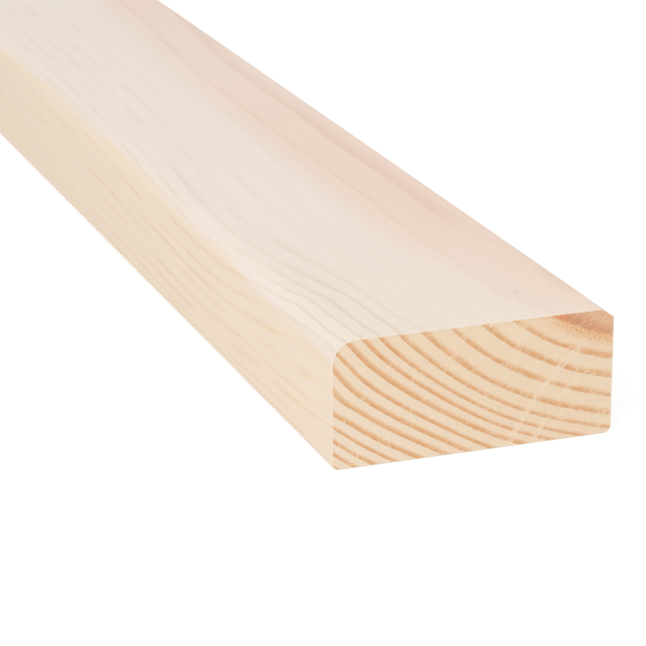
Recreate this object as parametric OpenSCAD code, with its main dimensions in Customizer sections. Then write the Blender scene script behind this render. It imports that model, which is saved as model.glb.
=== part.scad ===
// Planed softwood plank, one straight piece of stock with its four long arrises eased.
// It lies flat: X along the length, Y across the width, the underside on Z = 0.
// The origin is under the middle of the piece. All sizes are in millimetres.

/* [Stock] */
// Length from sawn end to sawn end
plank_length = 1800; // [300:50:6000]
// Width of the planed section
plank_width = 90; // [40:1:300]
// Thickness of the planed section
plank_thickness = 40; // [20:1:100]

/* [Arrises] */
// Radius of the round arris at the left of the upper face
top_arris_r = 7.5; // [1:0.5:9]
// Radius of the two round arrises beside the underside
bottom_arris_r = 2.5; // [1:0.5:9]
// Width of the bevel at the right of the upper face, measured across that face
bevel_across = 4; // [1:0.5:9]
// Depth of the same bevel, measured down the right edge
bevel_down = 3; // [1:0.5:9]

/* [Hidden] */

// Sides of a full circle, for the round arrises
arris_sides = 64;
// How far a cutter runs out past the faces that it trims
cut_over = 1;
// Colour of the fresh planed timber
timber_colour = [0.94, 0.87, 0.78];

half_width = plank_width / 2;

// What the planer takes off a square corner to leave an arris of radius r.
// The corner is at the origin and the timber lies in the first quadrant.
module round_cut(r) {
    difference() {
        translate([-cut_over, -cut_over])
            square(r + cut_over);
        translate([r, r])
            circle(r = r, $fn = arris_sides);
    }
}

// What it takes off such a corner to leave a flat bevel through (across, 0) and (0, down)
module bevel_cut(across, down) {
    slope = down / across;
    polygon([
        [-cut_over, -cut_over],
        [across + cut_over / slope, -cut_over],
        [-cut_over, down + cut_over * slope],
    ]);
}

// All four arris cuts, the two beside the underside as mirror images
module arris_cuts() {
    for (side = [0, 1]) mirror([side, 0])
        translate([-half_width, 0])
            round_cut(bottom_arris_r);
    translate([-half_width, plank_thickness]) mirror([0, 1])
        round_cut(top_arris_r);
    translate([half_width, plank_thickness]) rotate(180)
        bevel_cut(bevel_across, bevel_down);
}

// Cross-section of the planed stock, its underside on the X axis
module planed_section() {
    difference() {
        translate([-half_width, 0])
            square([plank_width, plank_thickness]);
        arris_cuts();
    }
}

// The whole piece: the section run along the length, with both ends sawn square
module plank() {
    color(timber_colour)
        rotate([90, 0, 90])
            linear_extrude(height = plank_length, center = true)
                planed_section();
}

plank();
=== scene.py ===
from math import pi, radians

import bpy
import numpy as np
from mathutils import Matrix, Vector


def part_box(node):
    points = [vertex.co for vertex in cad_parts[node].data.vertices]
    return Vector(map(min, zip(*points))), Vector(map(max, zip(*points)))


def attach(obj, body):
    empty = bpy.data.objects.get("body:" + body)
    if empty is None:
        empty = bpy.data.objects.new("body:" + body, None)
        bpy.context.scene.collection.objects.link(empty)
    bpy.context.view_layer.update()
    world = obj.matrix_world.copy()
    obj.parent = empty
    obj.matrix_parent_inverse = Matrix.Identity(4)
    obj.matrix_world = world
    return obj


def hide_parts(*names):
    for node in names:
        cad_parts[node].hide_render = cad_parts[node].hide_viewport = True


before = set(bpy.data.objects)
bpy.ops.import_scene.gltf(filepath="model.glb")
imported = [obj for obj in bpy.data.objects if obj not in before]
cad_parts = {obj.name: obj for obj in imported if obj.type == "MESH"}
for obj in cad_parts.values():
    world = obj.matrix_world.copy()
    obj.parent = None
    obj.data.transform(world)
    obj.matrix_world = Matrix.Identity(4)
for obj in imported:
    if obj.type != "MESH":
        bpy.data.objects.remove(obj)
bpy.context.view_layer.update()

# Planed softwood plank on a white floor. Metres throughout, except where a note says millimetres.
plankLow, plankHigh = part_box("plank")
plankLength = plankHigh.x - plankLow.x
plankWidth = plankHigh.y - plankLow.y
plankThickness = plankHigh.z - plankLow.z
print("plank", round(plankLength, 4), round(plankWidth, 4), round(plankThickness, 4))


# How the tree grew, in millimetres, seen on the near sawn end. Where no note says otherwise, a pair is where
# a change starts and is done, and four numbers are a rise and a fall: radii in names with Rings, and else
# distances from that end.
growth = {
    "pith": (45.0, 50.0),           # middle of the rings, across and up, past the upper right arris
    "lean": -18.0,                  # degrees that the long axis of a ring leans from level
    "flattening": 1.8,              # length of a ring over its height
    "heartEdges": (3.0, 10.2),      # radii of the ring edges inside the heartwood
    "heartRadius": 18.6,            # where the red heartwood ends
    "ringWidths": (7.0, 5.9, 5.8, 5.6, 4.1, 3.6, 3.0, 3.4, 3.8, 3.6,
                   3.3, 4.0, 3.2, 3.2, 3.0, 3.0, 3.1, 2.9, 3.0),    # from there outwards
    "latewood": (0.55, 0.9, 0.95, 1.0),     # parts of a ring between which its dense wood rises and falls
    "ripple": (0.3, -35.0, 44.0),   # sway of the outer rings: size, first crest and spacing across the width
    "rippleTo": 12.0,               # how far across it goes on
    "rippleRings": (38.0, 46.0),
    "swell": 6.9,                   # how far the rings swell beside the near end
    "swellTop": 122.0,              # distance from the end where they have swelled most
    "swellFall": (115.0, 315.0),
    "outerRings": (40.0, 48.0),     # outside these the rings swell at once, inside them in two steps
    "earlySwell": 3.6,              # the first of the two steps, right behind the end
    "earlyRise": (0.0, 25.0),
    "lateRise": (58.0, 122.0),
    "sapRings": (24.0, 31.5),       # inside these the rings swell as the heartwood does
    "heartSwell": 5.1,              # the heartwood swells less, and its core later
    "heartRise": (58.0, 90.0),
    "heartFall": (295.0, 480.0),
    "coreRings": (0.0, 20.0),
    "barkLoss": 0.35,               # the rings nearest the bark swell by this share less
    "barkRings": (62.0, 74.0),
    "lowStep": 1.6,                 # the rings below the round arris step out by this much before they swell
    "lowRun": (0.0, 26.0, 30.0, 80.0),
    "lowRings": (66.0, 71.0),
    "arrisGain": 0.15,              # the rings that meet the round arris swell by this share more
    "arrisRings": (44.0, 50.0, 56.0, 62.0),
    "firstStep": 0.4,               # they step out by this much right behind the end
    "firstRun": (0.0, 12.0, 25.0, 45.0),
    "kink": 0.75,                   # and have a flat spot this deep: its start, deepest place and end
    "kinkRun": (18.0, 38.0, 50.0),
    "held": 0.55,                   # the ring through the round arris stays behind by this much at first
    "heldRun": (0.0, 8.0, 50.0, 78.0),
    "heldRings": (57.0, 60.0, 61.5, 64.0),
    "rimBend": 0.62,                # rings bend down and up by this much at the left rim
    "rimBendHeight": (12.5, 38.5),  # over this range of height
    "rimBendLeft": (34.0, 45.0),    # how far left of the middle it starts and is full
    "rimBendLoss": 0.6,             # share that is lost further from the end
    "rimBendFade": (40.0, 100.0),
    "wander": 3.0,                  # slow drift of the rings along the rest of the length
    "wanderRise": (380.0, 800.0),
    "wanderWaves": ((1.0, 190.0, 0.0), (0.6, 83.0, 1.2)),   # share, length over 2 pi, and lead of its sines
}


# 0 before start, 1 after end, and the cubic 3t^2 - 2t^3 between them
def smoothStep(value, start, end):
    t = np.clip((value - start) / (end - start), 0, 1)
    return t * t * (3 - 2 * t)


# 1 between a smooth rise and a smooth fall, 0 outside them
def plateau(value, riseStart, riseEnd, fallStart, fallEnd):
    return smoothStep(value, riseStart, riseEnd) * (1 - smoothStep(value, fallStart, fallEnd))


# A level before start, 1 after end, smooth between
def eased(value, level, start, end):
    return level + (1 - level) * smoothStep(value, start, end)


# Millimetres from the near sawn end
def nearDistance(x):
    return (plankHigh.x - x) * 1000


# Radius of a plain growth ring: the length of the point's offset from the pith, after turning by the lean
# and squeezing the long axis
def plainRadius(y, z):
    across = y * 1000 - growth["pith"][0]
    up = z * 1000 - growth["pith"][1]
    lean = radians(growth["lean"])
    alongAxis = across * np.cos(lean) + up * np.sin(lean)
    overAxis = up * np.cos(lean) - across * np.sin(lean)
    return np.hypot(alongAxis / growth["flattening"], overAxis)


# How far the heartwood has swelled at a distance from the near end: its outer part in one smooth step
# right behind the end, all of it in a second one
def heartSwell(plain, fromEnd):
    early = growth["earlySwell"] * smoothStep(fromEnd, *growth["earlyRise"])
    early = early * smoothStep(plain, *growth["coreRings"])
    swelled = early + (growth["heartSwell"] - early) * smoothStep(fromEnd, *growth["heartRise"])
    return swelled * (1 - smoothStep(fromEnd, *growth["heartFall"]))


# The same for the sapwood: inner rings rise in two smooth steps, outer ones on half a cosine
# with a flat spot before a kink, and the lowest ones with a step of their own
def sapSwell(plain, fromEnd):
    inner = growth["earlySwell"] * smoothStep(fromEnd, *growth["earlyRise"])
    inner = inner + (growth["swell"] - growth["earlySwell"]) * smoothStep(fromEnd, *growth["lateRise"])
    outer = growth["swell"] * (1 - np.cos(pi * np.clip(fromEnd / growth["swellTop"], 0, 1))) / 2
    outer = outer * (1 - growth["barkLoss"] * smoothStep(plain, *growth["barkRings"]))
    lowStep = plateau(fromEnd, *growth["lowRun"]) * smoothStep(plain, *growth["lowRings"])
    outer = outer + growth["lowStep"] * lowStep
    flatFrom, kinkFrom, kinkTo = growth["kinkRun"]
    flat = np.clip((fromEnd - flatFrom) / (kinkFrom - flatFrom), 0, 1)
    flat = flat * (1 - smoothStep(fromEnd, kinkFrom, kinkTo))
    firstStep = plateau(fromEnd, *growth["firstRun"])
    nearArris = plateau(plain, *growth["arrisRings"])
    outer = outer * (1 + growth["arrisGain"] * nearArris)
    outer = outer + (growth["firstStep"] * firstStep - growth["kink"] * flat) * nearArris
    held = plateau(fromEnd, *growth["heldRun"]) * plateau(plain, *growth["heldRings"])
    outer = outer - growth["held"] * held
    swelled = inner + (outer - inner) * smoothStep(plain, *growth["outerRings"])
    return swelled * (1 - smoothStep(fromEnd, *growth["swellFall"]))


# Slow drift of all rings along the far part of the length, a sum of sines
def slowDrift(fromEnd):
    drift = sum(share * np.sin(fromEnd / length + lead) for share, length, lead in growth["wanderWaves"])
    return growth["wander"] * drift * smoothStep(fromEnd, *growth["wanderRise"])


# Radius of the growth ring through each point: the plain radius less the ripple, the bend at the rim
# (one sine wave over the height), the swelling and the drift there
def ringRadius(x, y, z):
    fromEnd = nearDistance(x)
    plain = plainRadius(y, z)
    size, crest, spacing = growth["ripple"]
    ripple = size * np.cos(2 * pi * (np.minimum(y * 1000, growth["rippleTo"]) - crest) / spacing)
    ripple = ripple * smoothStep(plain, *growth["rippleRings"])
    heart = heartSwell(plain, fromEnd)
    swelled = heart + (sapSwell(plain, fromEnd) - heart) * smoothStep(plain, *growth["sapRings"])
    low, high = growth["rimBendHeight"]
    bend = growth["rimBend"] * np.sin(2 * pi * np.clip((z * 1000 - low) / (high - low), 0, 1))
    bend = bend * smoothStep(-y * 1000, *growth["rimBendLeft"])
    bend = bend * (1 - growth["rimBendLoss"] * smoothStep(fromEnd, *growth["rimBendFade"]))
    return plain - ripple - bend - swelled - slowDrift(fromEnd)


# Rings counted outwards from the heartwood edge: 0 there, and 1 more at the outer edge of each ring
def ringCount(radius):
    inner = growth["heartEdges"]
    edges = growth["heartRadius"] + np.concatenate(([0.0], np.cumsum(growth["ringWidths"])))
    edges = np.concatenate((inner, edges))
    return np.interp(radius, edges, np.arange(len(edges)) - len(inner) * 1.0)


# How much dense latewood there is: nothing in the first part of a ring, full near its outer edge
def latewood(count):
    return plateau(count - np.floor(count), *growth["latewood"])


# How the growth shows on the planed faces, with radii and distances as above. Facing is how far a face looks
# up: 0 at the sides, 1 on top. A wave is a level, a swing, a first peak and a spacing along the length.
ringLook = {
    "pinkEdge": (17.0, 21.5, 27.5),     # radii where the heartwood's pink starts to fade, where it is gone
    "pinkEdgeRun": (30.0, 80.0),        # beside the end, and where it is gone past this run
    "pinkCore": (0.9, 4.0, 10.0),       # level of the pink in the core, and radii where that ends
    "pinkNear": (0.75, 55.0, 110.0),    # level beside the end, and distances where that ends
    "pinkWave": (0.84, 0.18, 150.0, 420.0),
    "heartWave": (0.70, 0.10, 40.0, 100.0),     # how clear the lines are in the heartwood,
    "topWave": (0.36, 0.12, 60.0, 560.0),       # in the sapwood of the upper face,
    "sideWave": (0.66, 0.32, 140.0, 420.0),     # and in the sapwood of the other faces
    "topFacing": (0.1, 0.6),
    "sapRings": (19.5, 21.0),           # where heartwood lines give way to sapwood lines
    "clear": 0.85,                      # outer lines of the upper face are this clear beside the end,
    "clearRings": (38.0, 44.0),
    "clearRun": (30.0, 130.0),
    "innerLoss": 0.75,                  # and the inner ones lose this share there
    "coreLoss": 0.7,                    # the lines of the core lose this share where it swells,
    "coreLossRun": (36.0, 48.0, 88.0, 104.0),
    "coreRings": (12.0, 14.0),
    "heartLoss": 0.5,                   # and those outside the core this share beside the end
    "steadyRun": (40.0, 100.0),         # beside the end the outer lines run on unbroken,
    "steadyArris": 0.45,                # with this share of it on the round arris
    "arrisFacing": (0.2, 0.6),
    "flatFacing": (0.6, 0.95),
    "steadyHeart": 0.65,                # and so do the lines in the heartwood
    "steadyHeartRings": (19.0, 20.5),
}


# A level that swings along the length as a cosine
def lengthWave(x, level, swing, peak, spacing):
    return level + swing * np.cos(2 * pi * (nearDistance(x) - peak) / spacing)


# Pink of the heartwood on planed faces: it fades outwards with the radius, a little towards the core,
# and beside the near end, and has a wave along the length
def pinkShare(x, y, z):
    look = ringLook
    fromEnd = nearDistance(x)
    plain = plainRadius(y, z)
    radius = plain - heartSwell(plain, fromEnd) - slowDrift(fromEnd)
    inside, goneNear, goneFar = look["pinkEdge"]
    gone = goneNear + (goneFar - goneNear) * smoothStep(fromEnd, *look["pinkEdgeRun"])
    share = (1 - smoothStep(radius, inside, gone)) * eased(radius, *look["pinkCore"])
    return share * lengthWave(x, *look["pinkWave"]) * eased(fromEnd, *look["pinkNear"])


# How clear the ring lines are on planed faces: waves along the length. Beside the near end the outer rings
# are at their clearest and the inner ones are lost, and so is the core where it swells
def lineShare(radius, x, upward):
    look = ringLook
    fromEnd = nearDistance(x)
    nearEnd = 1 - smoothStep(fromEnd, *look["clearRun"])
    outer = smoothStep(radius, *look["clearRings"])
    pastCore = smoothStep(radius, *look["coreRings"])
    top = lengthWave(x, *look["topWave"]) * (1 - look["innerLoss"] * nearEnd * (1 - outer))
    top = np.maximum(top, look["clear"] * nearEnd * outer)
    side = lengthWave(x, *look["sideWave"])
    sap = side + (top - side) * smoothStep(upward, *look["topFacing"])
    lost = look["coreLoss"] * plateau(fromEnd, *look["coreLossRun"]) * (1 - pastCore)
    heart = lengthWave(x, *look["heartWave"]) * (1 - lost) * (1 - look["heartLoss"] * nearEnd * pastCore)
    return heart + (sap - heart) * smoothStep(radius, *look["sapRings"])


# Where the lines run on unbroken: in the outer rings of the upper face, beside the near end, and for the
# most part on the round arris there and in the heartwood
def lineSteady(radius, x, upward):
    look = ringLook
    outer = (1 - smoothStep(nearDistance(x), *look["steadyRun"])) * smoothStep(radius, *look["clearRings"])
    facing = look["steadyArris"] * smoothStep(upward, *look["arrisFacing"])
    facing = facing + (1 - look["steadyArris"]) * smoothStep(upward, *look["flatFacing"])
    heart = look["steadyHeart"] * (1 - smoothStep(radius, *look["steadyHeartRings"]))
    return np.maximum(outer * facing, heart)


# What air and handling did to the planed faces, and the painted sheen and painted shade laid on them, with
# distances and facing as above
driedAndPaintedLight = {
    "driedReach": (0.17, 0.03),         # metres from an end where fast drying starts to show, and shows fully
    "driedFacing": (0.8, 0.99),
    "driedArrisRun": (25.0, 50.0),      # on the round arris it is gone past this run
    "sheenNear": 0.25,                 # painted sheen reaches further down beside the near end
    "sheenNearRun": (20.0, 110.0),
    "sheenFar": 0.27,                  # and less far along the rest of the length
    "sheenFarRun": (120.0, 260.0),
    "paintedShadeLow": (-0.1, 0.1, 0.3, 0.6),   # facing of the lower and of the upper half of the painted shade on the round arris
    "paintedShadeHigh": (0.3, 0.6, 0.9, 0.99),
    "paintedShadeHighLevel": 1.1,               # how dark the painted shade on the upper half is,
    "paintedShadeNear": (0.5, 100.0, 160.0),    # its share of that beside the near end, and distances where that ends
}


# Share of the colour that wood takes where it dries fastest: near both ends, but on the round arris
# only right beside the near one
def driedShare(x, upward):
    far, close = driedAndPaintedLight["driedReach"]
    nearEnds = smoothStep(np.abs(x), plankLength / 2 - far, plankLength / 2 - close)
    onArris = 1 - smoothStep(upward, *driedAndPaintedLight["driedFacing"])
    return nearEnds * (1 - onArris * smoothStep(nearDistance(x), *driedAndPaintedLight["driedArrisRun"]))


# How far the painted sheen reaches, by how much a face looks up: further down beside the near end,
# less far along the rest of the length
def paintedSheenReach(x, upward):
    fromEnd = nearDistance(x)
    near = driedAndPaintedLight["sheenNear"] * (1 - smoothStep(fromEnd, *driedAndPaintedLight["sheenNearRun"]))
    return upward + near - driedAndPaintedLight["sheenFar"] * smoothStep(fromEnd, *driedAndPaintedLight["sheenFarRun"])


# Painted shade on the round arris on the left: its lower half all along, its upper half less so beside the
# near end
def paintedShadeShare(x, y, upward):
    high = plateau(upward, *driedAndPaintedLight["paintedShadeHigh"]) * eased(nearDistance(x), *driedAndPaintedLight["paintedShadeNear"])
    return np.maximum(plateau(upward, *driedAndPaintedLight["paintedShadeLow"]), driedAndPaintedLight["paintedShadeHighLevel"] * high) * (y < 0)


# A knock left a shallow dent in the upper face
knock = {
    "fromEnd": 0.0185,
    "across": 0.0240,
    "reach": (0.0060, 0.0020),  # half its length and half its width
    "depth": 0.00010,
    "flat": 0.9,                # it shows on faces that look up by more than this
    "bruise": 0.05,             # how much darker its rim is
    "bruiseWidth": (0.45, 0.1),     # over the reach: how far off the rim it starts and is full
    "bruiseSide": (-0.2, 0.6),  # where it starts and is full, going round the rim
    "bruiseLean": 0.6,          # how far it goes round to the side away from the sawn end
}


# The dent's depth falls off as exp(-r^2), with r the distance over the reach
def knockDepth(x, y, upward):
    along = (plankHigh.x - x - knock["fromEnd"]) / knock["reach"][0]
    aside = (y - knock["across"]) / knock["reach"][1]
    return knock["depth"] * np.exp(-along * along - aside * aside) * (upward > knock["flat"])


plankShape = {
    "topArris": 0.0075,         # radii of the round arrises, as in the solid
    "bottomArris": 0.0025,
    "bevel": (0.004, 0.003),    # right upper arris: across the face, and down the edge
    "bevelEase": 0.0006,        # radius where the bevel meets the two faces
    "endEase": 0.0003,          # the saw leaves a hair of roundness on the end edges
    "easeSteps": 3,
    "acrossCells": (5, 84, 5),          # underside: half an arris, the flat, half an arris
    "rightCells": (5, 31, 3, 3),        # half an arris, the flat, the ease, half the bevel
    "topCells": (3, 3, 80, 8),          # half the bevel, the ease, the flat, half an arris
    "leftCells": (8, 29, 5),
    "lengthCells": 250,
    "crowding": 0.42,           # spacing of the stations at the near end, as a share of the even spacing
    "support": 0.0012,          # last station before an eased edge
    "grainRelief": 0.00004,     # softer earlywood planes this much lower
    "sawRelief": 0.00008,       # and saws this much lower on the ends
    "sheetMargin": 0.005,       # of the texture sheet, which is 1 by 1
    "skinSheet": (0.78, 0.99),          # size of the unrolled skin on it
    "endSheet": (0.795, 0.2, 0.49),     # left edge, width and height of an end
    "endSheetStep": 0.5,                # from one end up to the other
}


# Middle of a circle that touches both faces of a corner whose outward normals stand at two angles:
# the corner less radius * (sum of the normals) / (1 + their dot product)
def cornerMiddle(corner, radius, angleIn, angleOut):
    inward = np.array((np.cos(angleIn) + np.cos(angleOut), np.sin(angleIn) + np.sin(angleOut)))
    return np.array(corner) - radius * inward / (1 + np.cos(angleOut - angleIn))


# The section as the path of a point on the rim of a circle. The circle's middle, radius and angle go evenly
# from stop to stop: where the angle turns the point draws an arc, where the middle slides it draws a flat.
# Four runs come back, underside, right, top and left, that meet at the middle of each arris.
def sectionRuns():
    shape = plankShape
    half = plankWidth / 2
    top = plankThickness
    across, down = shape["bevel"]
    topR, lowR, easeR = shape["topArris"], shape["bottomArris"], shape["bevelEase"]
    right, up, left, under = 2 * pi, 2.5 * pi, 3 * pi, 1.5 * pi     # the way each face looks
    slant = 2 * pi + np.arctan2(across, down)
    lowLeft = (*cornerMiddle((-half, 0), lowR, left, left + pi / 2), lowR)
    lowRight = (*cornerMiddle((half, 0), lowR, under, right), lowR)
    bevelLow = (*cornerMiddle((half, top - down), easeR, right, slant), easeR)
    bevelHigh = (*cornerMiddle((half - across, top), easeR, slant, up), easeR)
    bevelMid = tuple((np.array(bevelLow) + np.array(bevelHigh)) / 2)
    topLeft = (*cornerMiddle((-half, top), topR, up, left), topR)
    eighth = pi / 4
    underStops = ((lowLeft, under - eighth), (lowLeft, under), (lowRight, under), (lowRight, under + eighth))
    rightStops = ((lowRight, under + eighth), (lowRight, right), (bevelLow, right), (bevelLow, slant),
                  (bevelMid, slant))
    topStops = ((bevelMid, slant), (bevelHigh, slant), (bevelHigh, up), (topLeft, up), (topLeft, up + eighth))
    leftStops = ((topLeft, up + eighth), (topLeft, left), (lowLeft, left), (lowLeft, left + eighth))
    stops = (underStops, rightStops, topStops, leftStops)
    cells = (shape["acrossCells"], shape["rightCells"], shape["topCells"], shape["leftCells"])
    return [expandStops(stop, count) for stop, count in zip(stops, cells)]


# Even steps from stop to stop: columns are middle across, middle up, radius and angle
def expandStops(stops, cells):
    table = np.array([(*circle, angle) for circle, angle in stops])
    at = np.concatenate(([0], np.cumsum(cells)))
    steps = np.arange(at[-1] + 1)
    return np.column_stack([np.interp(steps, at, column) for column in table.T])


# Points of a run with the whole outline drawn in by inset
def runPoints(run, inset):
    radius = run[:, 2] - inset
    return np.column_stack((run[:, 0] + radius * np.cos(run[:, 3]), run[:, 1] + radius * np.sin(run[:, 3])))


# Fills a closed outline of four runs: the sum of the two straight blends between opposite runs,
# less the blend of the four corners (a Coons patch)
def patchPoints(bottom, right, top, left):
    u = (bottom[:, 0] - bottom[0, 0]) / (bottom[-1, 0] - bottom[0, 0])
    v = (left[:, 1] - left[0, 1]) / (left[-1, 1] - left[0, 1])
    u = u[None, :, None]
    v = v[:, None, None]
    blends = (1 - v) * bottom[None] + v * top[None] + (1 - u) * left[:, None] + u * right[:, None]
    corners = (1 - v) * ((1 - u) * bottom[0] + u * bottom[-1]) + v * ((1 - u) * top[0] + u * top[-1])
    return blends - corners


# Places of the stations along X, closer together towards the near end as a sum of t and t^2, and how far
# the section is drawn in at each: both ends are eased on a quarter circle
def lengthStations():
    shape = plankShape
    ease = shape["endEase"]
    quarter = np.linspace(0, pi / 2, shape["easeSteps"] + 1)
    easeIn = ease * (1 - np.cos(quarter))
    easeX = plankLength / 2 - ease + ease * np.sin(quarter)
    body = plankLength / 2 - ease - shape["support"]
    t = np.linspace(1, 0, shape["lengthCells"] + 1)
    bodyX = body - 2 * body * (shape["crowding"] * t + (1 - shape["crowding"]) * t * t)
    stationX = np.concatenate((-easeX[::-1], bodyX, easeX))
    stationIn = np.concatenate((easeIn[::-1], np.zeros(len(bodyX)), easeIn))
    return stationX, stationIn


# Growth, painted sheen and painted shade carried on the points, so that the grain is one solid through every
# face
def carryGrowth(mesh, points, upward, onRim):
    x, y, z = points.T
    radius = ringRadius(x, y, z)
    carried = {
        "ringCount": ringCount(radius),
        "ringRadius": radius,
        "pinkShare": pinkShare(x, y, z),
        "lineShare": lineShare(radius, x, upward),
        "lineSteady": lineSteady(radius, x, upward),
        "paintedSheen": paintedSheenReach(x, upward),
        "dried": driedShare(x, upward),
        "paintedShade": paintedShadeShare(x, y, upward),
        "rim": onRim,
    }
    for name, values in carried.items():
        mesh.attributes.new(name, "FLOAT", "POINT").data.foreach_set("value", values.astype(np.float32))


# Texture sheet: the skin unrolled by its length and girth, and the two ends turned upright beside it.
# The corners of the skin's faces come as X and as a number around the section.
def laySheet(mesh, loop, cornerX, cornerAround, endCorners):
    shape = plankShape
    margin = shape["sheetMargin"]
    outline = runPoints(np.concatenate((loop, loop[:1])), 0)
    girth = np.concatenate(([0.0], np.cumsum(np.hypot(*np.diff(outline, axis=0).T))))
    skinU = margin + shape["skinSheet"][0] * (cornerX / plankLength + 0.5)
    skinV = margin + shape["skinSheet"][1] * girth[cornerAround] / girth[-1]
    sheets = [np.stack((skinU, skinV), -1).reshape(-1, 2)]
    left, width, height = shape["endSheet"]
    for side, at in enumerate(endCorners):
        endU = left + width * at[:, 2] / plankThickness
        endV = margin + shape["endSheetStep"] * side + height * (at[:, 1] / plankWidth + 0.5)
        sheets.append(np.column_stack((endU, endV)))
    sheet = mesh.uv_layers.new(name="OFBake")
    sheet.data.foreach_set("uv", np.concatenate(sheets).astype(np.float32).ravel())


# The long skin is the section carried along X, with both ends drawn in on a quarter circle.
# Each end is a patch that shares the last ring of points.
def makePlank():
    shape = plankShape
    runs = sectionRuns()
    loop = np.concatenate([run[:-1] for run in runs])
    around = len(loop)
    nAcross = len(runs[0]) - 1
    nThrough = len(runs[1]) - 1
    stationX, stationIn = lengthStations()
    stations = len(stationX)

    # skin points, then the relief of the planed grain along the section's own normals
    radius = loop[None, :, 2] - stationIn[:, None]
    normalY = np.broadcast_to(np.cos(loop[:, 3]), radius.shape)
    normalZ = np.broadcast_to(np.sin(loop[:, 3]), radius.shape)
    x = np.broadcast_to(stationX[:, None], radius.shape)
    y = loop[:, 0] + radius * normalY
    z = loop[:, 1] + radius * normalZ
    sunk = shape["grainRelief"] * (1 - latewood(ringCount(ringRadius(x, y, z))))
    sunk = sunk + knockDepth(x, y, normalZ)
    skin = np.stack((x, y - sunk * normalY, z - sunk * normalZ), -1)

    # end patches, sunk along X inside their rims
    rims = [runPoints(run, shape["endEase"]) for run in runs]
    patch = patchPoints(rims[0], rims[1], rims[2][::-1], rims[3][::-1])
    inside = patch[1:-1, 1:-1].reshape(-1, 2)
    ends = []
    for sign in (-1, 1):
        endX = np.full(len(inside), sign * plankLength / 2)
        drop = shape["sawRelief"] * (1 - latewood(ringCount(ringRadius(endX, *inside.T))))
        ends.append(np.column_stack((endX - sign * drop, inside)))
    points = np.concatenate((skin.reshape(-1, 3), *ends))

    # corner numbers of the skin's faces; the column past the last one is the first again
    s, n = np.meshgrid(np.arange(stations - 1), np.arange(around), indexing="ij")
    cornerStation = np.stack((s, s, s + 1, s + 1), -1).reshape(-1, 4)
    cornerAround = np.stack((n, n + 1, n + 1, n), -1).reshape(-1, 4)
    skinFaces = cornerStation * around + cornerAround % around

    # each end's grid of point numbers: its rim is a station of the skin, the rest are its own
    across = np.arange(nAcross + 1)
    through = np.arange(nThrough + 1)
    own = np.arange(len(inside)).reshape(nThrough - 1, -1)
    endFaces = []
    j, i = np.meshgrid(np.arange(nThrough), np.arange(nAcross), indexing="ij")
    for side, rimStart in enumerate((0, (stations - 1) * around)):
        grid = np.zeros((nThrough + 1, nAcross + 1), int)
        grid[0] = rimStart + across
        grid[:, -1] = rimStart + nAcross + through
        grid[-1] = rimStart + nAcross + nThrough + across[::-1]
        grid[:, 0] = rimStart + (2 * nAcross + nThrough + through[::-1]) % around
        grid[1:-1, 1:-1] = stations * around + side * len(inside) + own
        corners = [grid[j, i], grid[j, i + 1], grid[j + 1, i + 1], grid[j + 1, i]]
        corners = corners if side else corners[::-1]
        endFaces.append(np.stack(corners, -1).reshape(-1, 4))
    faces = np.concatenate((skinFaces, *endFaces))

    mesh = bpy.data.meshes.new("plankTimber")
    mesh.from_pydata(points.tolist(), [], faces.tolist())
    onEnd = np.zeros(len(faces), np.int32)
    onEnd[len(skinFaces):] = 1
    mesh.polygons.foreach_set("material_index", onEnd)
    mesh.polygons.foreach_set("use_smooth", np.ones(len(faces), bool))

    # the rim of each sawn end is a sharp edge
    edgePoints = np.empty(len(mesh.edges) * 2, np.int32)
    mesh.edges.foreach_get("vertices", edgePoints)
    station = edgePoints.reshape(-1, 2) // around
    sharp = (station[:, 0] == station[:, 1]) & ((station[:, 0] == 0) | (station[:, 0] == stations - 1))
    mesh.attributes.new("sharp_edge", "BOOLEAN", "EDGE").data.foreach_set("value", sharp)

    upward = np.concatenate((normalZ.ravel(), np.zeros(2 * len(inside))))
    onRim = np.zeros(len(points))
    onRim[:around] = 1
    onRim[(stations - 1) * around:stations * around] = 1
    carryGrowth(mesh, points, upward, onRim)
    laySheet(mesh, loop, stationX[cornerStation], cornerAround, [points[end.ravel()] for end in endFaces])

    mesh.update()
    mesh.validate()
    piece = bpy.data.objects.new("plankTimber", mesh)
    bpy.context.scene.collection.objects.link(piece)
    print("plank mesh", len(points), "points", len(faces), "faces")
    return piece


# Small helpers for node trees. A socket is linked and anything else is set as a value.
def feed(tree, socket, value):
    if isinstance(value, bpy.types.NodeSocket):
        tree.links.new(value, socket)
    else:
        socket.default_value = value


# One step of arithmetic
def calc(tree, operation, *values):
    node = tree.nodes.new("ShaderNodeMath")
    node.operation = operation
    for socket, value in zip(node.inputs, values):
        feed(tree, socket, value)
    return node.outputs[0]


# Product of all the values
def times(tree, product, *others):
    for other in others:
        product = calc(tree, "MULTIPLY", product, other)
    return product


# Value plus share times amount
def raised(tree, value, share, amount):
    return calc(tree, "MULTIPLY_ADD", share, amount, value)


# From low to high, as share goes from 0 to 1
def span(tree, share, low, high):
    return raised(tree, low, share, high - low)


# From low at start to high at end, smooth between and level outside. Start may be above end.
def step(tree, value, start, end, low=0.0, high=1.0):
    node = tree.nodes.new("ShaderNodeMapRange")
    node.interpolation_type = "SMOOTHSTEP"
    feed(tree, node.inputs["Value"], value)
    feed(tree, node.inputs["From Min"], start)
    feed(tree, node.inputs["From Max"], end)
    feed(tree, node.inputs["To Min"], low)
    feed(tree, node.inputs["To Max"], high)
    return node.outputs["Result"]


# 1 from low to high and 0 outside, over a soft edge
def between(tree, value, low, high, soft):
    return times(tree, step(tree, value, low - soft, low), step(tree, value, high + soft, high))


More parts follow.
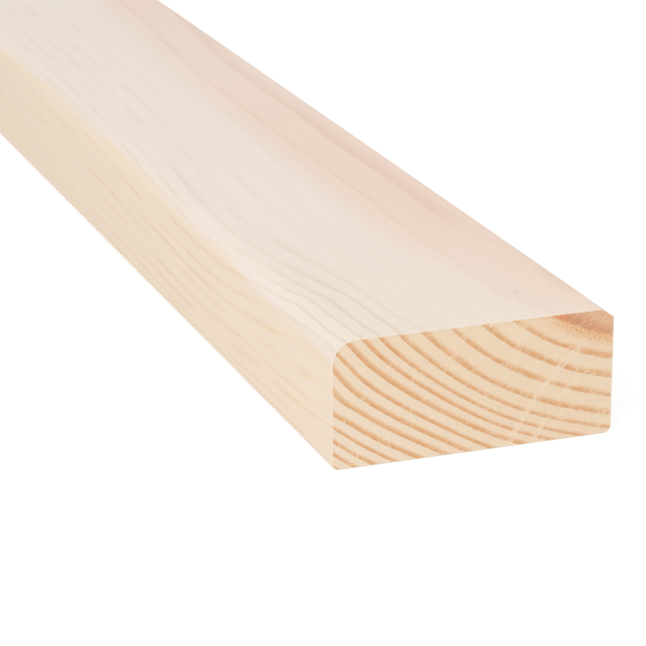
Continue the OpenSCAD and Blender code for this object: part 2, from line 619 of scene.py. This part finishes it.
# Mix of two colours
def blend(tree, share, first, second):
    node = tree.nodes.new("ShaderNodeMix")
    node.data_type = "RGBA"
    feed(tree, node.inputs["Factor"], share)
    for socket, value in zip([s for s in node.inputs if s.type == "RGBA"], (first, second)):
        feed(tree, socket, value if isinstance(value, bpy.types.NodeSocket) else (*value, 1.0))
    return [s for s in node.outputs if s.type == "RGBA"][0]


# Noise about 0.5 whose lumps measure size (x, y, z) in millimetres
def lumps(tree, place, size, detail=2.0):
    scaled = tree.nodes.new("ShaderNodeMapping")
    scaled.inputs["Scale"].default_value = [1000 / length for length in size]
    feed(tree, scaled.inputs["Vector"], place)
    noise = tree.nodes.new("ShaderNodeTexNoise")
    noise.inputs["Scale"].default_value = 1.0
    noise.inputs["Detail"].default_value = detail
    feed(tree, noise.inputs["Vector"], scaled.outputs["Vector"])
    return noise.outputs["Fac"]


# Value plus noise that swings by amount either way
def shaken(tree, value, noise, amount):
    swing = calc(tree, "MULTIPLY_ADD", noise, 4 * amount, -2 * amount)
    return calc(tree, "ADD", value, swing)


# Colour times a number
def dimmed(tree, colour, share):
    node = tree.nodes.new("ShaderNodeVectorMath")
    node.operation = "SCALE"
    feed(tree, node.inputs[0], colour)
    feed(tree, node.inputs["Scale"], share)
    return node.outputs[0]


# A value that the mesh carries on its points
def carriedValue(tree, name):
    node = tree.nodes.new("ShaderNodeAttribute")
    node.attribute_name = name
    return node.outputs["Fac"]


# X, Y and Z of a place
def placeParts(tree, place):
    node = tree.nodes.new("ShaderNodeSeparateXYZ")
    feed(tree, node.inputs[0], place)
    return node.outputs["X"], node.outputs["Y"], node.outputs["Z"]


def startMaterial(name):
    material = bpy.data.materials.new(name)
    material.use_nodes = True
    tree = material.node_tree
    shader = tree.nodes["Principled BSDF"]
    place = tree.nodes.new("ShaderNodeTexCoord").outputs["Object"]
    return material, tree, shader, place


def addBump(tree, shader, height, strength, distance):
    bump = tree.nodes.new("ShaderNodeBump")
    bump.inputs["Strength"].default_value = strength
    bump.inputs["Distance"].default_value = distance
    feed(tree, bump.inputs["Height"], height)
    tree.links.new(bump.outputs["Normal"], shader.inputs["Normal"])


# Where a point lies in its ring, from 0 to 1, and a steady random number for each ring
def ringPart(tree, count):
    part = calc(tree, "FRACT", count)
    ring = tree.nodes.new("ShaderNodeTexWhiteNoise")
    ring.noise_dimensions = "1D"
    feed(tree, ring.inputs["W"], calc(tree, "FLOOR", count))
    return part, ring.outputs["Value"]


# A value of its own for each ring from the heartwood outwards, and the same one for all rings past those
def perRing(tree, count, values, rest):
    chosen = rest
    for ring, value in enumerate(values):
        here = calc(tree, "COMPARE", count, ring + 0.5, 0.5)
        chosen = raised(tree, chosen, here, value - rest)
    return chosen


# In both finishes a pair is where a change starts and where it is done, and four numbers are a pair with the
# levels before and after. Counts are rings from the heartwood outwards, parts go from 0 to 1 in each ring.
planedFinish = {
    "warmSap": (0.888, 0.741, 0.580),
    "paintedSheenSap": (0.865, 0.768, 0.680),   # painted sheen: the upper face paler where it catches the light
    "endSap": (0.852, 0.748, 0.643),    # the same painted sheen, where the wood dried fastest beside the sawn ends
    "warmLate": (0.840, 0.628, 0.405),
    # latewood lines under the painted sheen
    "paintedSheenLate": (0.710, 0.560, 0.420),
    "heart": (0.858, 0.665, 0.548),
    "heartCore": (0.850, 0.635, 0.510),     # its middle, inside these radii and beside the sawn ends
    "coreRadius": (15.0, 10.0),
    "heartLine": (0.735, 0.470, 0.360),
    "sheenSpan": (0.28, 0.58),           # reach of the painted sheen from warm to pale colours, and its sway
    "sheenSway": 0.14,
    "arrisSheen": 0.9,                 # share of the painted sheen that the arris with painted shade keeps
    "lineSway": (0.09, 0.08),           # how far the lines drift, and wobble, in counts
    "wobble": (0.0, 1.5, 0.35, 1.0),    # the wobble grows with the count
    "lineStart": 0.42,                  # part where a line starts, and how much later it may be at random
    "lineSpread": 0.15,
    "lineDelay": (0.12, 0.26, -0.3),    # and is where lines run on, in heartwood, and in its innermost ring
    "lineFull": 0.90,                   # part where a line is darkest
    "lineEnd": (0.93, 0.87),            # and where it starts to end, in the sapwood and in the heartwood
    "fade": (0.38, 0.66, 0.18, 1.0),    # lines come and go with this noise
    "steadyLevel": 0.66,                # and have this level where they run on
    "faintRings": (1.5, 5.5),           # ring lines grow stronger between these counts, from this level
    "faintLevel": 0.3,
    "heartRimLevel": 0.4,               # level in the heartwood outside its innermost ring
    "shade": (0.95, 0.05, 0.05),        # lowest, and what fine fibre and slow changes of tone add
    "fresh": (0.08, 0.1, 0.04),         # paler line past the heartwood: its count, and how far off it fades
    "freshShade": 0.012,
    "arrisShade": 0.970,                # painted shade: the round arris is a little darker than the faces
    "roughness": (0.49, 0.12, -0.08),   # lowest, and what fibre and a line add
    "bump": (0.15, 0.00008),            # strength, and height in metres
}


# The rim of the knock is bruised on its left side and on the side away from the sawn end
def knockShade(tree, place):
    x, y, z = placeParts(tree, place)
    along = calc(tree, "SUBTRACT", plankHigh.x - knock["fromEnd"], x)
    along = calc(tree, "DIVIDE", along, knock["reach"][0])
    aside = calc(tree, "SUBTRACT", y, knock["across"])
    aside = calc(tree, "DIVIDE", aside, knock["reach"][1])
    squares = raised(tree, times(tree, aside, aside), along, along)
    offRim = calc(tree, "ABSOLUTE", calc(tree, "SUBTRACT", calc(tree, "SQRT", squares), 1.0))
    facing = raised(tree, times(tree, aside, -1.0), along, knock["bruiseLean"])
    bruise = times(tree, step(tree, facing, *knock["bruiseSide"]), step(tree, offRim, *knock["bruiseWidth"]))
    bruise = times(tree, bruise, step(tree, z, 0.0, plankThickness))
    return raised(tree, 1.0, bruise, -knock["bruise"])


# Ring lines that waver a little, come and go along the length, and are faint in the wide inner rings.
# Inside a ring the line is a smooth rise and a smooth fall.
def planedLines(tree, place, pink):
    finish = planedFinish
    drift, swing = finish["lineSway"]
    count = shaken(tree, carriedValue(tree, "ringCount"), lumps(tree, place, (90, 9, 9)), drift)
    wobble = shaken(tree, 0.0, lumps(tree, place, (16, 2, 2)), swing)
    count = raised(tree, count, wobble, step(tree, count, *finish["wobble"]))
    part, seed = ringPart(tree, count)
    steady = carriedValue(tree, "lineSteady")
    inHeart = step(tree, count, 0.05, 0.0)
    inCore = step(tree, count, -0.98, -1.02)

    start = raised(tree, finish["lineStart"], seed, finish["lineSpread"])
    for share, delay in zip((steady, inHeart, inCore), finish["lineDelay"]):
        start = raised(tree, start, share, delay)
    end = span(tree, inHeart, *finish["lineEnd"])
    line = times(tree, step(tree, part, start, finish["lineFull"]), step(tree, part, 1.0, end))

    fade = step(tree, lumps(tree, place, (55, 5, 5)), *finish["fade"])
    fade = raised(tree, fade, steady, calc(tree, "SUBTRACT", finish["steadyLevel"], fade))
    red = times(tree, pink, span(tree, inCore, finish["heartRimLevel"], 1.0))
    strong = calc(tree, "MAXIMUM", step(tree, count, *finish["faintRings"]), red)
    strong = span(tree, strong, finish["faintLevel"], 1.0)
    return times(tree, line, fade, strong, carriedValue(tree, "lineShare")), count


# Planed long grain: faint ring lines stretched along the length, pink heartwood, fine fibre
def planedGrain():
    finish = planedFinish
    material, tree, shader, place = startMaterial("planedGrain")
    # painted shade darkens the round arris
    paintedShade = carriedValue(tree, "paintedShade")
    dried = carriedValue(tree, "dried")
    pink = carriedValue(tree, "pinkShare")
    # painted sheen: faces that look up are paler, the arris with painted shade a little less
    pale = shaken(tree, carriedValue(tree, "paintedSheen"), lumps(tree, place, (110, 7, 7)), finish["sheenSway"])
    pale = times(tree, step(tree, pale, *finish["sheenSpan"]), span(tree, paintedShade, 1.0, finish["arrisSheen"]))
    line, count = planedLines(tree, place, pink)

    sap = blend(tree, pale, finish["warmSap"], blend(tree, dried, finish["paintedSheenSap"], finish["endSap"]))
    late = blend(tree, pale, finish["warmLate"], finish["paintedSheenLate"])
    core = times(tree, step(tree, carriedValue(tree, "ringRadius"), *finish["coreRadius"]), dried)
    heart = blend(tree, core, finish["heart"], finish["heartCore"])
    base = blend(tree, pink, sap, heart)
    dark = blend(tree, pink, late, finish["heartLine"])
    colour = blend(tree, line, base, dark)

    # fine fibre, slow changes of tone, the paler line past the heartwood, the painted shade on the arris and
    # the knock
    fibre = lumps(tree, place, (25, 0.45, 0.45), 3.0)
    lowest, fibreShade, toneShade = finish["shade"]
    shade = raised(tree, lowest, fibre, fibreShade)
    shade = raised(tree, shade, lumps(tree, place, (60, 3, 3)), toneShade)
    freshCount, freshEdge, freshFull = finish["fresh"]
    offFresh = calc(tree, "ABSOLUTE", calc(tree, "SUBTRACT", count, freshCount))
    shade = raised(tree, shade, step(tree, offFresh, freshEdge, freshFull), finish["freshShade"])
    shade = times(tree, shade, span(tree, paintedShade, 1.0, finish["arrisShade"]), knockShade(tree, place))
    feed(tree, shader.inputs["Base Color"], dimmed(tree, colour, shade))

    lowest, fibreRough, lineRough = finish["roughness"]
    rough = raised(tree, raised(tree, lowest, fibre, fibreRough), line, lineRough)
    feed(tree, shader.inputs["Roughness"], rough)
    addBump(tree, shader, fibre, *finish["bump"])
    return material


# Radii and saw marks are in millimetres. Across and height are metres, from the middle and from the floor.
sawnFinish = {
    "early": (0.868, 0.678, 0.488),
    "paleEarly": (0.878, 0.729, 0.564),     # towards the bark, over these counts
    "paleRings": (3.0, 14.0),
    "lateEdge": (0.840, 0.586, 0.366),  # inner edge of a latewood band, and its share of the full colour
    "lateEdgeAt": 0.35,
    "late": (0.750, 0.388, 0.168),
    "lateCore": (0.640, 0.285, 0.105),  # densest line of a ring, laid on by this share
    "lateCoreShare": 0.38,
    "torn": (0.925, 0.805, 0.640),      # fibre ends pulled up by the saw, laid on by this share
    "tornShare": 0.42,
    "fringe": (0.845, 0.505, 0.255),
    "fringeDot": (0.690, 0.350, 0.145),
    "heart": (0.655, 0.302, 0.158),     # red edge of the heartwood
    "heartTip": (0.785, 0.305, 0.135),
    "heartPale": (0.765, 0.468, 0.275),
    "heartStreak": (0.870, 0.600, 0.410),
    "shade": (0.87, 0.22, 0.05),        # lowest, and what pores and slow changes of tone add
    "roughness": 0.8,
    "bump": (0.3, 0.00012),             # strength, and height in metres

    # latewood bands
    "lateStart": 0.44,                  # part where a band starts, and how much later it may be at random
    "lateSpread": 0.14,
    "lateShift": (0.03, 0.0, -0.04, -0.04, 0.07, 0.03, -0.09, -0.1, 0.08, -0.02, -0.07, 0.05, 0.13),
    "lateDepth": (1.0, 1.06, 1.0, 0.92, 0.95, 1.0, 1.06, 1.04, 0.94, 0.98, 0.86, 0.95, 0.92),
                                        # how much later the band of each ring starts, and how dark it is
    "outerShift": (5.5, 7.0, 0.0, -0.04),   # outer bands start sooner
    "lateFull": (4.0, 6.5, 0.90, 0.82),     # part where a band is full, by its count
    "lateEnd": (1.0, 0.965),            # sharp outer edge
    "wideRings": (5.0, 3.5),            # the wide inner bands darken faster, in this share of the span,
    "wideSpan": 0.66,
    "wideSway": (-0.015, 0.06),         # and are shifted by this much and sway
    "upperRings": (3.2, 2.8),           # the innermost ones start later and are paler towards the top
    "upperHeight": (0.027, 0.034),
    "upperShift": 0.07,
    "upperDepth": 0.91,
    "coreRise": (0.76, 0.88),           # parts where the densest line starts and ends
    "coreFall": (0.985, 0.945),

    # marks of the saw
    "sawAxis": (84.0, -35.0),           # middle of the blade's arcs, across and up
    "sawRays": ((81.0, 0.0, 31.0), (74.0, 0.0, 6.5), (74.0, 15.0, 18.5)),
                                        # arcs torn in places: radius, and from which height to which
    "rayWidth": (1.5, 0.5),
    "raySoft": 0.002,                   # metres over which an arc starts and ends
    "toothStep": 1.05,                  # spacing of the tooth marks in the heartwood and in rough patches
    "toothTear": 0.7,
    "worn": (-0.03, 0.02, 0.3, 1.0),    # across: the marks grow towards the right side
    "tornHeight": (0.005, 0.018, 0.003),    # rough patch at the right edge: lowest, highest, soft edge
    "tornAcross": (0.034, 0.041, 0.0, 1.3),
    "hatching": (0.08, 0.09, 0.5),      # depth, and what wear and rough patches add
    "ticks": (0.91, -0.45, -0.06),      # noise above which loose ticks show, and what clusters and wear add
    "tornLate": 0.15,                   # latewood colour that is left in torn fibre

    # heartwood corner and its speckled fringe
    "wash": (25.6, 23.5, 0.0, 0.12),    # radii of the tan wash, and its shares
    "fringeRadius": (22.8, 18.2),
    "fringeAcross": (0.016, 0.036, 0.35, 1.0),
    "fringeShare": 0.9,
    "dotLevel": (0.68, 0.48),           # noise above which dots show, away from the heartwood and beside it
    "dotShare": (1.6, 0.66),            # growth with the fringe, and limit
    "lightShare": 0.45,
    "heartEdge": (18.4, 17.5),
    "heartRagged": 0.3,
    "tipAcross": (0.032, 0.026),        # the orange tip, which reaches this much further
    "tipReach": 0.45,
    "redRadius": (11.5, 17.0),          # from tan to red, further out towards the right side
    "redShift": (0.034, 0.043, 0.0, -2.0),
    "streakRadius": (7.0, 12.0, 0.25, 0.85),
    "streakAcross": (0.027, 0.036),
    "heartShade": (1.08, 0.92),

    # torn fibre along the rim, which reaches further at the round arris
    "rimSway": 0.4,
    "rimEdge": (0.55, 0.9, 0.0, 0.6),
    "chipHeight": (0.034, 0.037, 0.0, 0.22),
    "chipAcross": (-0.037, -0.040),
}


# The blade left arcs about its axis, so its marks are laid out by distance along an arc and by its radius
def sawPlace(tree, place):
    x, y, z = placeParts(tree, place)
    across = calc(tree, "SUBTRACT", y, sawnFinish["sawAxis"][0] / 1000)
    up = calc(tree, "SUBTRACT", z, sawnFinish["sawAxis"][1] / 1000)
    radius = calc(tree, "SQRT", raised(tree, times(tree, up, up), across, across))
    along = times(tree, calc(tree, "ARCTAN2", up, across), sawnFinish["sawRays"][0][0] / 1000)
    joined = tree.nodes.new("ShaderNodeCombineXYZ")
    for socket, value in zip(joined.inputs, (along, radius, x)):
        feed(tree, socket, value)
    return joined.outputs[0], times(tree, radius, 1000.0)


# Tooth marks: crests of a triangle wave over the blade's radius, uneven and with gaps
def toothMarks(tree, sawn, sawRadius, hatch):
    phase = calc(tree, "DIVIDE", sawRadius, sawnFinish["toothStep"])
    phase = shaken(tree, phase, lumps(tree, sawn, (6, 1.6, 50)), 0.3)
    tooth = shaken(tree, calc(tree, "PINGPONG", phase, 0.5), hatch, 0.16)
    gaps = step(tree, lumps(tree, sawn, (3, 0.9, 50)), 0.28, 0.56)
    return times(tree, step(tree, tooth, 0.34, 0.46), gaps)


# Latewood bands: inside a ring a smooth rise from start to full and a sharp fall, patchy, with a dense core
def latewoodBands(tree, place, height, count):
    finish = sawnFinish
    part, seed = ringPart(tree, count)
    start = raised(tree, finish["lateStart"], seed, finish["lateSpread"])
    start = calc(tree, "ADD", start, step(tree, count, *finish["outerShift"]))
    start = calc(tree, "ADD", start, perRing(tree, count, finish["lateShift"], 0.0))
    full = step(tree, count, *finish["lateFull"])

    # the inner bands: a faster rise about a middle that sways and comes later towards the top
    wide = step(tree, count, *finish["wideRings"])
    shift, swing = finish["wideSway"]
    sway = shaken(tree, shift, lumps(tree, place, (14, 14, 14), 0.0), swing)
    upper = times(tree, step(tree, count, *finish["upperRings"]), step(tree, height, *finish["upperHeight"]))
    middle = times(tree, calc(tree, "ADD", start, full), 0.5)
    middle = raised(tree, raised(tree, middle, sway, wide), upper, finish["upperShift"])
    half = times(tree, span(tree, wide, 0.5, finish["wideSpan"] / 2), calc(tree, "SUBTRACT", full, start))
    rise = step(tree, part, calc(tree, "SUBTRACT", middle, half), calc(tree, "ADD", middle, half))

    patchy = raised(tree, 0.37, lumps(tree, place, (8, 8, 8)), 0.5)
    patchy = raised(tree, patchy, lumps(tree, place, (0.9, 0.9, 0.9)), 0.4)
    late = times(tree, rise, step(tree, part, *finish["lateEnd"]), patchy,
                 span(tree, upper, 1.0, finish["upperDepth"]), perRing(tree, count, finish["lateDepth"], 1.0))
    core = times(tree, step(tree, part, *finish["coreRise"]), step(tree, part, *finish["coreFall"]),
                 step(tree, lumps(tree, place, (3, 3, 3)), 0.42, 0.62))
    return late, core


# Hatching in patches, and torn fibre: loose ticks in clusters, arcs torn in places, teeth in rough patches
def tornMarks(tree, place, sawn, sawRadius, hatch, tooth):
    finish = sawnFinish
    across, height = placeParts(tree, place)[1:]
    worn = step(tree, across, *finish["worn"])
    rough = times(tree, step(tree, lumps(tree, place, (9, 9, 9)), 0.50, 0.66), worn)
    atEdge = step(tree, across, *finish["tornAcross"])
    atEdge = times(tree, atEdge, between(tree, height, *finish["tornHeight"]))
    rough = calc(tree, "MAXIMUM", rough, atEdge)
    depth, wornDepth, roughDepth = finish["hatching"]
    depth = raised(tree, raised(tree, depth, worn, wornDepth), rough, roughDepth)
    hatched = times(tree, step(tree, hatch, 0.42, 0.62), depth)

    level, clusterLevel, wornLevel = finish["ticks"]
    level = raised(tree, level, lumps(tree, place, (6, 6, 6)), clusterLevel)
    level = raised(tree, level, worn, wornLevel)
    tick = lumps(tree, sawn, (1.8, 0.3, 70), 1.0)
    ticks = step(tree, tick, level, calc(tree, "ADD", level, 0.06))
    rays = 0.0
    for arc, lowest, highest in finish["sawRays"]:
        aside = calc(tree, "ABSOLUTE", calc(tree, "SUBTRACT", sawRadius, arc))
        length = between(tree, height, lowest / 1000, highest / 1000, finish["raySoft"])
        rays = calc(tree, "MAXIMUM", rays, times(tree, step(tree, aside, *finish["rayWidth"]), length))
    rays = times(tree, rays, step(tree, tick, 0.42, 0.54))
    teeth = times(tree, tooth, rough, finish["toothTear"])
    return hatched, calc(tree, "MAXIMUM", calc(tree, "MAXIMUM", ticks, rays), teeth)


# Speckled fringe around the heartwood: a tan wash, dots that thin out, and light flecks between them
def heartFringe(tree, sawn, across, radius, colour):
    finish = sawnFinish
    colour = blend(tree, step(tree, radius, *finish["wash"]), colour, finish["fringe"])
    near = step(tree, radius, *finish["fringeRadius"])
    near = times(tree, near, step(tree, across, *finish["fringeAcross"]))
    colour = blend(tree, times(tree, near, finish["fringeShare"]), colour, finish["fringe"])
    speck = lumps(tree, sawn, (0.75, 0.33, 50), 0.0)
    level = span(tree, near, *finish["dotLevel"])
    dots = step(tree, speck, level, calc(tree, "ADD", level, 0.06))
    growing, limit = finish["dotShare"]
    dots = times(tree, dots, calc(tree, "MINIMUM", times(tree, near, growing), limit))
    colour = blend(tree, dots, colour, finish["fringeDot"])
    lights = times(tree, near, step(tree, speck, 0.38, 0.30), finish["lightShare"])
    return blend(tree, lights, colour, finish["torn"])


# Heartwood: orange at its tip, red along its ragged edge, tan towards the arris, with even tooth marks
def heartCorner(tree, place, across, radius, hatch, tooth, colour):
    finish = sawnFinish
    tip = step(tree, across, *finish["tipAcross"])
    ragged = shaken(tree, radius, lumps(tree, place, (1.5, 1.5, 1.5)), finish["heartRagged"])
    ragged = raised(tree, ragged, tip, -finish["tipReach"])
    redder = calc(tree, "ADD", radius, step(tree, across, *finish["redShift"]))
    tone = blend(tree, step(tree, redder, *finish["redRadius"]), finish["heartPale"], finish["heart"])
    tone = blend(tree, tip, tone, finish["heartTip"])
    clear = step(tree, radius, *finish["streakRadius"])
    clear = times(tree, clear, step(tree, across, *finish["streakAcross"]))
    tone = blend(tree, times(tree, tooth, clear), tone, finish["heartStreak"])
    tone = dimmed(tree, tone, span(tree, hatch, *finish["heartShade"]))
    return blend(tree, step(tree, ragged, *finish["heartEdge"]), colour, tone)


# Sawn end grain: latewood arcs with a sharp outer edge, hatched and broken by the saw, a red heartwood
# corner with a speckled fringe, and pale torn fibre along the rim
def sawnEnd():
    finish = sawnFinish
    material, tree, shader, place = startMaterial("sawnEnd")
    across, height = placeParts(tree, place)[1:]
    radius = carriedValue(tree, "ringRadius")
    sawn, sawRadius = sawPlace(tree, place)
    hatch = lumps(tree, sawn, (2.2, 0.32, 50), 1.0)
    tooth = toothMarks(tree, sawn, sawRadius, hatch)

    # the rings sway, and their edges are frayed along the saw marks
    count = shaken(tree, carriedValue(tree, "ringCount"), lumps(tree, place, (20, 20, 20)), 0.03)
    count = shaken(tree, count, lumps(tree, place, (1.4, 1.4, 1.4)), 0.025)
    count = shaken(tree, count, hatch, 0.01)
    late, core = latewoodBands(tree, place, height, count)
    hatched, torn = tornMarks(tree, place, sawn, sawRadius, hatch, tooth)
    late = times(tree, late, calc(tree, "SUBTRACT", 1.05, hatched), span(tree, torn, 1.0, finish["tornLate"]))
    core = times(tree, core, calc(tree, "SUBTRACT", 1.0, torn))

    early = blend(tree, step(tree, count, *finish["paleRings"]), finish["early"], finish["paleEarly"])
    edgeAt = finish["lateEdgeAt"]
    colour = blend(tree, calc(tree, "DIVIDE", late, edgeAt), early, finish["lateEdge"])
    beyond = calc(tree, "DIVIDE", calc(tree, "SUBTRACT", late, edgeAt), 1 - edgeAt)
    colour = blend(tree, beyond, colour, finish["late"])
    colour = blend(tree, times(tree, core, finish["lateCoreShare"]), colour, finish["lateCore"])
    colour = blend(tree, times(tree, torn, finish["tornShare"]), colour, finish["torn"])
    colour = heartFringe(tree, sawn, across, radius, colour)
    colour = heartCorner(tree, place, across, radius, hatch, tooth, colour)

    chip = times(tree, step(tree, height, *finish["chipHeight"]), step(tree, across, *finish["chipAcross"]))
    reach = calc(tree, "ADD", carriedValue(tree, "rim"), chip)
    frayed = shaken(tree, reach, lumps(tree, place, (0.9, 0.9, 0.9), 0.0), finish["rimSway"])
    colour = blend(tree, step(tree, frayed, *finish["rimEdge"]), colour, finish["torn"])

    pores = lumps(tree, place, (0.35, 0.35, 0.35), 2.0)
    lowest, poreShade, toneShade = finish["shade"]
    shade = raised(tree, lowest, pores, poreShade)
    shade = raised(tree, shade, lumps(tree, place, (2.5, 2.5, 2.5)), toneShade)
    feed(tree, shader.inputs["Base Color"], dimmed(tree, colour, shade))
    shader.inputs["Roughness"].default_value = finish["roughness"]
    addBump(tree, shader, calc(tree, "ADD", hatch, pores), *finish["bump"])
    return material


plank = makePlank()
plank.data.materials.append(planedGrain())
plank.data.materials.append(sawnEnd())
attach(plank, "root")
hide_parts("plank")
print("plank finished")


studio = {
    "cameraPlace": (1.6166, -0.3107, 0.3089),
    "cameraAim": (0.8833, -0.0415, 0.0400),
    "cameraRoll": -0.1,             # degrees
    "lens": 157.06,                 # millimetres, and the width of the sensor
    "sensor": 36.0,
    "farClip": 100.0,
    "worldLight": 0.78,
    "keyPlace": (1.75, -0.95, 1.05),
    "keyAim": (0.75, 0.0, 0.02),
    "keySize": 1.3,
    "keyPower": 10.0,
    "floorColour": 0.8,             # what the floor throws back on the plank
    "floorShade": 0.35,             # how much of the floor's own shading the camera sees
    "floorWhite": 0.72,
    "floorReach": 30.0,
}


# Turns an object so that its -Z looks from place to aim with its X level, then rolls it
def lookFrom(item, place, aim, roll=0.0):
    turn = (Vector(aim) - Vector(place)).to_track_quat("-Z", "Y").to_matrix().to_4x4()
    item.matrix_world = Matrix.Translation(place) @ turn @ Matrix.Rotation(radians(roll), 4, "Z")


def makeCamera():
    lens = bpy.data.cameras.new("camera")
    lens.sensor_width = studio["sensor"]
    lens.lens = studio["lens"]
    lens.clip_end = studio["farClip"]
    camera = bpy.data.objects.new("camera", lens)
    bpy.context.scene.collection.objects.link(camera)
    lookFrom(camera, studio["cameraPlace"], studio["cameraAim"], studio["cameraRoll"])
    bpy.context.scene.camera = camera


# 1 for rays that the eye follows straight or through a reflection, 0 for those that carry light
def seenRay(tree):
    path = tree.nodes.new("ShaderNodeLightPath").outputs
    seen = calc(tree, "MAXIMUM", path["Is Camera Ray"], path["Is Glossy Ray"])
    return calc(tree, "MAXIMUM", seen, path["Is Transmission Ray"])


# An even white light all round, and plain white where it is seen
def makeWorld():
    world = bpy.data.worlds.new("studioWorld")
    bpy.context.scene.world = world
    world.use_nodes = True
    tree = world.node_tree
    glow = tree.nodes["Background"]
    glow.inputs["Color"].default_value = (1, 1, 1, 1)
    feed(tree, glow.inputs["Strength"], span(tree, seenRay(tree), studio["worldLight"], 1.0))


# One soft round lamp
def makeKey():
    light = bpy.data.lights.new("keyLight", "AREA")
    light.shape = "DISK"
    light.size = studio["keySize"]
    light.energy = studio["keyPower"]
    key = bpy.data.objects.new("keyLight", light)
    bpy.context.scene.collection.objects.link(key)
    lookFrom(key, studio["keyPlace"], studio["keyAim"])


# The floor lights the plank as a pale matt sheet, and is seen as white with the plank's shadow on it
def makeFloor():
    corners = np.array(((-1, -1, 0), (1, -1, 0), (1, 1, 0), (-1, 1, 0))) * studio["floorReach"]
    mesh = bpy.data.meshes.new("floor")
    mesh.from_pydata(corners.tolist(), [], [(0, 1, 2, 3)])
    material = bpy.data.materials.new("paleFloor")
    material.use_nodes = True
    tree = material.node_tree
    tree.nodes.remove(tree.nodes["Principled BSDF"])
    matt = tree.nodes.new("ShaderNodeBsdfDiffuse")
    matt.inputs["Color"].default_value = (*[studio["floorColour"]] * 3, 1)
    shade = tree.nodes.new("ShaderNodeBsdfDiffuse")
    shade.inputs["Color"].default_value = (*[studio["floorShade"]] * 3, 1)
    white = tree.nodes.new("ShaderNodeEmission")
    white.inputs["Strength"].default_value = studio["floorWhite"]
    seen = tree.nodes.new("ShaderNodeAddShader")
    tree.links.new(shade.outputs[0], seen.inputs[0])
    tree.links.new(white.outputs[0], seen.inputs[1])
    choose = tree.nodes.new("ShaderNodeMixShader")
    feed(tree, choose.inputs[0], seenRay(tree))
    tree.links.new(matt.outputs[0], choose.inputs[1])
    tree.links.new(seen.outputs[0], choose.inputs[2])
    tree.links.new(choose.outputs[0], tree.nodes["Material Output"].inputs["Surface"])
    mesh.materials.append(material)
    floor = bpy.data.objects.new("floor", mesh)
    bpy.context.scene.collection.objects.link(floor)


makeCamera()
makeWorld()
makeKey()
makeFloor()
bpy.context.scene.view_settings.view_transform = "Standard"
print("studio ready")
